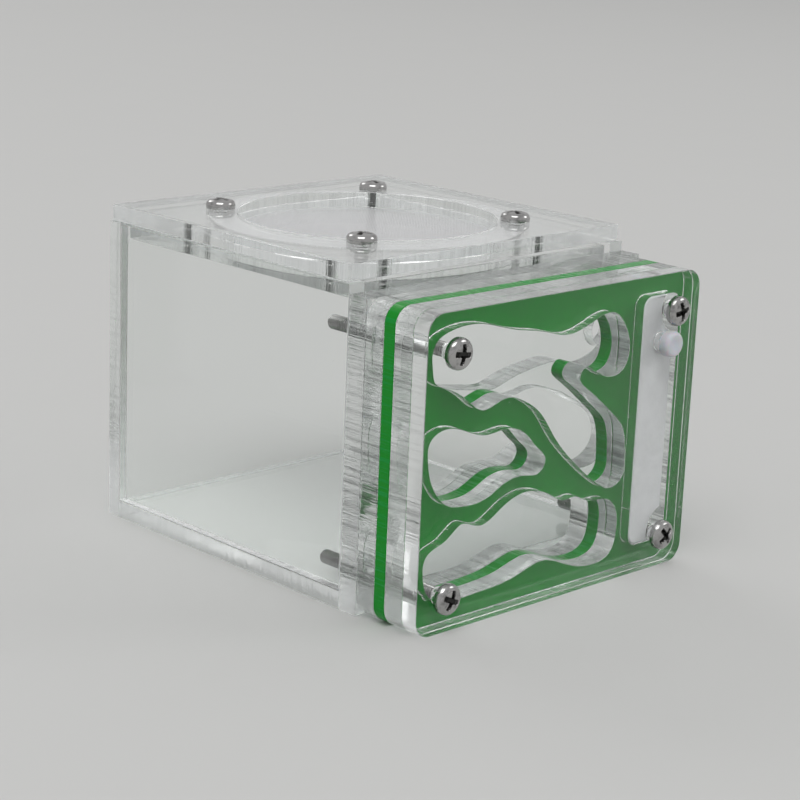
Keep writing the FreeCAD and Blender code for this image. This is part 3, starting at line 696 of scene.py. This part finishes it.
def handling_marks(name):
    """What handling leaves on a smooth face: faint smears, fine hairlines and a few specks
    of dust as Roughness, and the face's own slow waviness as Height."""
    wires = Group(name, Clean_Roughness=0.0, Smear=0.05, Dust=0.4)
    given = wires.given
    smear = wires.spread(wires.noise(0.045, 3.0, 0.6), 0.52, 0.72)
    stretched = wires.vector("MULTIPLY", wires.place_in, (1.0, 0.13, 0.7))
    hairline = wires.spread(wires.noise(3.0, 1.0, at=stretched), 0.70, 0.76)
    marks = wires.larger(smear, wires.times(hairline, 0.6))
    cells = wires.add("ShaderNodeTexVoronoi", {"feature": "F1"}, Vector=wires.place_in, Scale=0.33)
    speck = wires.spread(cells.outputs["Distance"], 0.020, 0.034, to_low=1.0, to_high=0.0)
    some = wires.spread(wires.noise(0.11, 0.0), 0.50, 0.58)
    rough = wires.math("MULTIPLY_ADD", marks, given["Smear"], given["Clean Roughness"])
    rough = wires.math("MULTIPLY_ADD", wires.times(speck, some), given["Dust"], rough)
    return wires.results(Height=wires.noise(0.03, 1.0), Roughness=rough)


def plated_metal(name):
    """Plated steel: a colour that dulls in patches, fine drawn grain and small dents."""
    wires = Group(name, Bright=(0.7, 0.7, 0.7, 1), Dull=(0.4, 0.39, 0.37, 1),
                  Clean_Roughness=0.12, Dull_Roughness=0.34)
    given = wires.given
    patches = wires.spread(wires.noise(0.55, 4.0, 0.65), 0.46, 0.70)
    grain = wires.noise(9.0, 3.0, 0.7)
    dents = wires.noise(1.3)
    share = wires.times(patches, wires.spread(grain, 0.3, 0.7, to_low=0.45))
    return wires.results(
        Color=wires.mix(share, given["Bright"], given["Dull"]),
        Roughness=wires.between(share, given["Clean Roughness"], given["Dull Roughness"]),
        Height=wires.math("MULTIPLY_ADD", grain, 0.4, dents))


def wire_weave(name):
    """Plain-woven wires along X and Y: Cover is 1 on a wire and 0 in the openings, Height is
    the rounded wires passing over and under each other."""
    wires = Group(name, Pitch=0.42, Wire=0.2)
    given = wires.given
    across = wires.add("ShaderNodeSeparateXYZ", Vector=wires.place_in).outputs
    covers, rounds, swings = [], [], []
    for axis in ("X", "Y"):
        turns = wires.math("DIVIDE", across[axis], given["Pitch"])
        near = wires.math("ABSOLUTE", wires.math("SUBTRACT", wires.math("FRACT", turns), 0.5))
        away = wires.math("DIVIDE", wires.times(near, given["Pitch"]), wires.times(given["Wire"], 0.5))
        inside = wires.larger(wires.math("SUBTRACT", 1.0, wires.times(away, away)), 0.0)
        covers.append(wires.math("LESS_THAN", away, 1.0))
        rounds.append(wires.math("SQRT", inside))
        swings.append(wires.math("SINE", wires.times(turns, math.pi)))
    over = wires.times(*swings)
    heights = [wires.math("MULTIPLY_ADD", over, swing, wire) for swing, wire in zip((0.5, -0.5), rounds)]
    return wires.results(Cover=wires.larger(*covers), Height=wires.larger(*heights))


def felt_fibres(name):
    """Matted fibres: tangled fine ridges over soft lumps, and a colour that varies with them."""
    wires = Group(name, Pale=(0.86, 0.86, 0.85, 1), Deep=(0.66, 0.67, 0.66, 1))
    given = wires.given
    warp = wires.noise(1.4, output="Color")
    warped = wires.vector("ADD", wires.place_in, wires.vector("SCALE", warp, 1.6))
    ridges = []
    for stretch in ((5.5, 1.2, 1.2), (1.2, 1.2, 5.5)):
        strand = wires.noise(1.0, roughness=0.6, at=wires.vector("MULTIPLY", warped, stretch))
        away = wires.math("ABSOLUTE", wires.math("MULTIPLY_ADD", strand, 4.0, -2.0))
        ridges.append(wires.math("SUBTRACT", 1.0, away))
    fibres = wires.larger(*ridges)
    lumps = wires.noise(0.35, 3.0, 0.55)
    shade = wires.math("MULTIPLY_ADD", wires.spread(fibres, 0.2, 1.0), 0.6,
                       wires.times(wires.spread(lumps, 0.3, 0.7), 0.4))
    return wires.results(
        Color=wires.mix(shade, given["Deep"], given["Pale"]),
        Height=wires.math("MULTIPLY_ADD", lumps, 1.4, wires.times(fibres, 0.5)))


# ---- materials

def polished_acrylic(name, mirror):
    """A sheet's own smooth face."""
    tint = bpy.context.scene.habitat_sheets.clear_tint
    surface = Surface(name, Base_Color=opaque(tint), Transmission_Weight=1.0, IOR=ACRYLIC_IOR,
                      Specular_Tint=opaque([mirror] * 3))
    marks = surface.group(handling_marks, Clean_Roughness=0.0, Smear=0.025, Dust=0.35)
    surface.let_lamps_through(LAMP_LIGHT["face"])
    return surface.finish(marks["Height"], 0.012, Roughness=marks["Roughness"])


def cut_acrylic(name, axis, cut):
    """The cut edge of a clear sheet that lies flat across an axis."""
    tint = bpy.context.scene.habitat_sheets.cut_tint
    surface = Surface(name, Transmission_Weight=1.0, IOR=ACRYLIC_IOR)
    streaks = surface.group(cut_streaks, In_Plane=[float(k != axis) for k in range(3)], Wander=0.25,
                            Clean_Roughness=cut["clean"], Rough_Roughness=cut["rough"])
    shaded = surface.mix(streaks["Streak"], opaque(tint), opaque(tint, cut["pass"]))
    surface.let_lamps_through(LAMP_LIGHT["cut"])
    return surface.finish(streaks["Height"], cut["depth"], Base_Color=shaded, Roughness=streaks["Roughness"])


def green_acrylic(name):
    """The faces of the green sheet, with slow clouds of the lighter green."""
    settings = bpy.context.scene.habitat_sheets
    surface = Surface(name, IOR=ACRYLIC_IOR, Specular_IOR_Level=0.1)
    marks = surface.group(handling_marks, Clean_Roughness=0.14, Smear=0.16, Dust=0.4)
    clouds = surface.times(surface.noise(0.08, 3.0), 0.35)
    shaded = surface.mix(clouds, opaque(settings.green), opaque(settings.green_light))
    return surface.finish(marks["Height"], 0.1, Base_Color=shaded, Roughness=marks["Roughness"])


def green_cut_acrylic(name):
    """The cut edges of the green sheet, lighter in their streaks."""
    settings = bpy.context.scene.habitat_sheets
    surface = Surface(name, IOR=ACRYLIC_IOR, Specular_IOR_Level=0.25)
    streaks = surface.group(cut_streaks, In_Plane=(1.0, 0.0, 1.0), Wander=0.2, Clean_Roughness=0.16,
                            Rough_Roughness=0.42)
    shaded = surface.mix(streaks["Streak"], opaque(settings.green), opaque(settings.green_light))
    return surface.finish(streaks["Height"], 0.04, Base_Color=shaded, Roughness=streaks["Roughness"])


def plated_steel(name):
    """Bright plated steel, with painted shade that darkens it in the cross recess and the thread grooves,
    where it is also rougher.
    """
    settings = bpy.context.scene.habitat_fasteners
    surface = Surface(name, Metallic=1.0)
    metal = surface.group(plated_metal, Bright=opaque(settings.steel), Dull=opaque(settings.steel, 0.4),
                          Clean_Roughness=0.07, Dull_Roughness=0.22)
    # The attribute read here holds painted shade for the cross recess and the thread grooves; the colour is
    # mixed towards the painted shade colour with it.
    painted_shade = surface.add("ShaderNodeAttribute", {"attribute_name": "painted_shade"}).outputs["Fac"]
    shaded = surface.mix(painted_shade, metal["Color"], opaque(settings.steel_hollow))
    rougher = 0.3  # at the bottom of a hollow
    rough = surface.math("MULTIPLY_ADD", painted_shade, rougher, metal["Roughness"])
    return surface.finish(metal["Height"], 0.008, Base_Color=shaded, Roughness=rough)


def zinc_steel(name):
    surface = Surface(name, Metallic=1.0)
    metal = surface.group(plated_metal, Bright=(0.60, 0.61, 0.62, 1), Dull=(0.42, 0.43, 0.44, 1),
                          Clean_Roughness=0.20, Dull_Roughness=0.42)
    return surface.finish(metal["Height"], 0.015, Base_Color=metal["Color"], Roughness=metal["Roughness"])


def nylon(name):
    tone = bpy.context.scene.habitat_fasteners.nylon
    surface = Surface(name, Subsurface_Weight=0.15, Subsurface_Scale=0.0006)
    marks = surface.group(handling_marks, finer=6.0, Clean_Roughness=0.34, Smear=0.2, Dust=0.2)
    shaded = surface.mix(surface.noise(1.2), opaque(tone, 0.86), opaque(tone))
    relief = surface.noise(4.0)
    return surface.finish(relief, 0.02, Base_Color=shaded, Roughness=marks["Roughness"])


def woven_wire(name):
    """Steel wires, with the openings between them cut out."""
    settings = bpy.context.scene.habitat_soft
    surface = Surface(name, Metallic=0.1)
    weave = surface.group(wire_weave, Pitch=settings.mesh_pitch / MM, Wire=settings.mesh_wire / MM)
    tone = settings.wire_colour
    metal = surface.group(plated_metal, Bright=opaque(tone), Dull=opaque(tone, 0.93),
                          Clean_Roughness=0.30, Dull_Roughness=0.45)
    return surface.finish(weave["Height"], 0.1, Base_Color=metal["Color"], Roughness=metal["Roughness"],
                          Alpha=weave["Cover"])


def moisture_felt(name):
    pale = bpy.context.scene.habitat_soft.strip_colour
    surface = Surface(name, Roughness=0.92, Sheen_Weight=0.25, Specular_IOR_Level=0.2)
    felt = surface.group(felt_fibres, Pale=opaque(pale), Deep=opaque(pale, 0.84))
    return surface.finish(felt["Height"], 0.09, Base_Color=felt["Color"])


def soft_silicone(name):
    tone = bpy.context.scene.habitat_soft.plug_colour
    surface = Surface(name, Subsurface_Weight=0.5, Subsurface_Scale=0.0012, IOR=1.42)
    marks = surface.group(handling_marks, finer=5.0, Clean_Roughness=0.28, Smear=0.2, Dust=0.3)
    shaded = surface.mix(surface.noise(0.8, 3.0), opaque(tone, 0.9), opaque(tone))
    relief = surface.noise(2.5)
    return surface.finish(relief, 0.03, Base_Color=shaded, Roughness=marks["Roughness"])


# ---- operators for the pieces and the stage

class HABITAT_OT_clear_sheets(bpy.types.Operator):
    """Build the clear sheets of the box, the nest and the lid"""

    bl_idname = "habitat.clear_sheets"
    bl_label = "Clear sheets"

    def execute(self, context):
        settings = context.scene.habitat_sheets
        face, pressed = (once(polished_acrylic, MIRROR[kind], name=f"acrylic_{kind}")
                         for kind in ("polished", "pressed"))
        for node, (axis, kind) in CLEAR_SHEETS.items():
            cut = once(cut_acrylic, axis, CUTS[kind], name=f"acrylic_{kind}_cut_{AXIS_NAMES[axis]}")
            piece = sheet_piece(f"{node}_sheet", node, axis, settings.edge_bevel, settings.air_gap,
                                [face, cut, pressed], pressed=PRESSED_FACES.get(node, (False, False)))
            place(piece, "lid" if node in LID_SHEETS else "habitat", "clear_acrylic", node)
        return {"FINISHED"}


class HABITAT_OT_green_sheet(bpy.types.Operator):
    """Build the green sheet with the chamber outlines"""

    bl_idname = "habitat.green_sheet"
    bl_label = "Green sheet"

    def execute(self, context):
        settings = context.scene.habitat_sheets
        materials = [once(green_acrylic, name="acrylic_green"),
                     once(green_cut_acrylic, name="acrylic_green_cut")]
        piece = sheet_piece("nest_green_plate_sheet", "nest_green_plate", Y, settings.edge_bevel,
                            settings.air_gap, materials)
        place(piece, "habitat", "green_acrylic", "nest_green_plate")
        return {"FINISHED"}


class HABITAT_OT_moisture_strip(bpy.types.Operator):
    """Build the white strip that holds the nest's water"""

    bl_idname = "habitat.moisture_strip"
    bl_label = "Moisture strip"

    def execute(self, context):
        felt, gap = once(moisture_felt), 0.03 * MM
        piece = sheet_piece("moisture_strip", "moisture_sponge", Y, context.scene.habitat_soft.strip_round,
                            gap, [felt, felt], steps=4)
        place(piece, "habitat", "sponge", "moisture_sponge")
        return {"FINISHED"}


class HABITAT_OT_water_plug(bpy.types.Operator):
    """Build the soft plug of the watering hole"""

    bl_idname = "habitat.water_plug"
    bl_label = "Water plug"

    def execute(self, context):
        settings = context.scene.habitat_soft
        wide, deep, _ = np.ptp(node_box("water_plug"), axis=0)
        points, faces = plug_button(settings, wide / 2, deep - settings.plug_head)
        points = seated(points, "water_plug", "-Y", settings.plug_head)
        piece = new_object("water_plug_button", points, faces, [once(soft_silicone)], sharp=60.0)
        place(piece, "plug", "plug_silicone", "water_plug")
        return {"FINISHED"}


class HABITAT_OT_nest_screws(bpy.types.Operator):
    """Build the four long screws that hold the nest together"""

    bl_idname = "habitat.nest_screws"
    bl_label = "Nest screws"

    def execute(self, context):
        for number, turn in NEST_SCREW_TURNS.items():
            build_screw(f"nest_screw_{number}", "habitat", "-Y", turn)
        return {"FINISHED"}


class HABITAT_OT_lock_nuts(bpy.types.Operator):
    """Build the lock nuts on the nest screws, each with its nylon ring"""

    bl_idname = "habitat.lock_nuts"
    bl_label = "Lock nuts"

    def execute(self, context):
        settings = context.scene.habitat_fasteners
        for number in NEST_SCREW_TURNS:
            nut = f"nest_nut_{number}"
            build_nut(nut, settings)
            build_nut_ring(nut, f"nest_nut_ring_{number}", settings)
        return {"FINISHED"}


class HABITAT_OT_lid_screws(bpy.types.Operator):
    """Build the four short screws that hold the lid and the mesh together"""

    bl_idname = "habitat.lid_screws"
    bl_label = "Lid screws"

    def execute(self, context):
        for number, turn in LID_SCREW_TURNS.items():
            build_screw(f"lid_screw_{number}", "lid", "+Z", turn)
        return {"FINISHED"}


class HABITAT_OT_vent_mesh(bpy.types.Operator):
    """Build the woven mesh of the vent"""

    bl_idname = "habitat.vent_mesh"
    bl_label = "Vent mesh"

    def execute(self, context):
        thick = np.ptp(node_box("vent_mesh"), axis=0)[Z]
        gap = (thick - context.scene.habitat_soft.mesh_thickness) / 2
        wire, bevel = once(woven_wire), 0.08 * MM
        piece = sheet_piece("vent_mesh_weave", "vent_mesh", Z, bevel, gap, [wire, wire])
        place(piece, "lid", "mesh_steel", "vent_mesh")
        return {"FINISHED"}


class HABITAT_OT_stage(bpy.types.Operator):
    """Set the floor, the lamps, the surroundings and the camera"""

    bl_idname = "habitat.stage"
    bl_label = "Stage"

    def execute(self, context):
        scene, settings = context.scene, context.scene.habitat_stage
        self.add_floor(settings)
        self.add_surroundings(scene, settings)
        self.add_lamps(scene, settings)
        self.add_camera(scene, settings)
        scene.view_settings.view_transform = "Standard"
        scene.cycles.max_bounces = BOUNCES
        scene.cycles.transmission_bounces = BOUNCES
        scene.cycles.glossy_bounces = BOUNCES
        scene.cycles.transparent_max_bounces = TRANSPARENT_BOUNCES
        return {"FINISHED"}

    def add_floor(self, settings):
        """A round floor, as rings whose spacing grows outwards, and a rim that goes down."""
        inner, outer, rings, rim, taper = 0.05, 6.0, 24, 0.02, 0.999
        radius = np.append(np.geomspace(inner, outer, rings), outer * taper)
        height = np.append(np.zeros(rings), -rim) + CAD_BOX[0][Z]
        points, faces = ring_surface(turned_rings(radius, height, 64))
        paper = Surface("floor_paper", Roughness=0.75)
        tone, grain = settings.floor_colour, paper.noise(0.02, 4.0, 0.6)
        material = paper.finish(Base_Color=paper.mix(grain, opaque(tone, 0.985), opaque(tone)))
        new_object("floor", points, faces, [material], sharp=30.0)

    def add_surroundings(self, scene, settings):
        """The background is pale to the camera and in glass and metal, and lights less."""
        world = bpy.data.worlds.new("surroundings")
        world.use_nodes = True
        world.node_tree.nodes.clear()
        wires = Wires(world.node_tree)
        path = wires.add("ShaderNodeLightPath").outputs
        seen = wires.larger(wires.larger(path["Is Camera Ray"], path["Is Glossy Ray"]),
                            path["Is Transmission Ray"])
        strength = wires.math("MULTIPLY_ADD", seen, settings.background - settings.room_light,
                              settings.room_light)
        background = wires.add("ShaderNodeBackground", Color=(1, 1, 1, 1), Strength=strength)
        wires.add("ShaderNodeOutputWorld", Surface=background.outputs[0])
        scene.world = world

    def add_lamps(self, scene, settings):
        for name, (at, wide, high, share) in LAMPS.items():
            lamp = bpy.data.lights.new(name, "AREA")
            lamp.shape, lamp.size, lamp.size_y = "RECTANGLE", wide, high
            lamp.energy = settings.key_light * share
            holder = bpy.data.objects.new(name, lamp)
            holder.location = at
            holder.rotation_mode = "QUATERNION"
            holder.rotation_quaternion = (Vector(LAMP_AIM) - Vector(at)).to_track_quat("-Z", "Y")
            scene.collection.objects.link(holder)

    def add_camera(self, scene, settings):
        """Turns the camera at its aim, then moves it back along its line of sight."""
        lens = bpy.data.cameras.new("camera")
        lens.lens, lens.sensor_width, lens.sensor_fit = settings.lens, 36.0, "HORIZONTAL"
        lens.clip_start, lens.clip_end = 0.01, 50.0
        camera = bpy.data.objects.new("camera", lens)
        turn = (Matrix.Rotation(-settings.azimuth, 4, "Z")
                @ Matrix.Rotation(QUARTER_TURN - settings.elevation, 4, "X")
                @ Matrix.Rotation(settings.roll, 4, "Z"))
        away = Matrix.Translation((0, 0, settings.distance))
        camera.matrix_world = Matrix.Translation(CAMERA_AIM) @ turn @ away
        scene.collection.objects.link(camera)
        scene.camera = camera


# ---- panel and registration

class HABITAT_PT_pieces(bpy.types.Panel):
    """The pieces of the ant habitat, in the order they are built"""

    bl_idname = "HABITAT_PT_pieces"
    bl_label = "Ant habitat"
    bl_space_type = "VIEW_3D"
    bl_region_type = "UI"
    bl_category = "Ant habitat"

    def draw(self, context):
        for operator in PIECE_OPERATORS:
            self.layout.operator(operator.bl_idname)
        for name in SETTING_GROUPS:
            group = getattr(context.scene, name)
            column = self.layout.column(align=True)
            for label in type(group).__annotations__:
                column.prop(group, label)


PIECE_OPERATORS = (
    HABITAT_OT_clear_sheets,
    HABITAT_OT_green_sheet,
    HABITAT_OT_moisture_strip,
    HABITAT_OT_water_plug,
    HABITAT_OT_nest_screws,
    HABITAT_OT_lock_nuts,
    HABITAT_OT_lid_screws,
    HABITAT_OT_vent_mesh,
    HABITAT_OT_stage,
)
SETTING_GROUPS = {
    "habitat_sheets": HabitatSheetSettings,
    "habitat_fasteners": HabitatFastenerSettings,
    "habitat_soft": HabitatSoftSettings,
    "habitat_stage": HabitatStageSettings,
}


def register():
    for cls in (*SETTING_GROUPS.values(), *PIECE_OPERATORS, HABITAT_PT_pieces):
        bpy.utils.register_class(cls)
    for name, group in SETTING_GROUPS.items():
        setattr(bpy.types.Scene, name, bpy.props.PointerProperty(type=group))


def unregister():
    for name in SETTING_GROUPS:
        delattr(bpy.types.Scene, name)
    for cls in (HABITAT_PT_pieces, *reversed(PIECE_OPERATORS), *reversed(tuple(SETTING_GROUPS.values()))):
        bpy.utils.unregister_class(cls)


def main():
    register()
    for operator in PIECE_OPERATORS:
        group, name = operator.bl_idname.split(".")
        getattr(getattr(bpy.ops, group), name)()


if __name__ == "__main__":
    main()
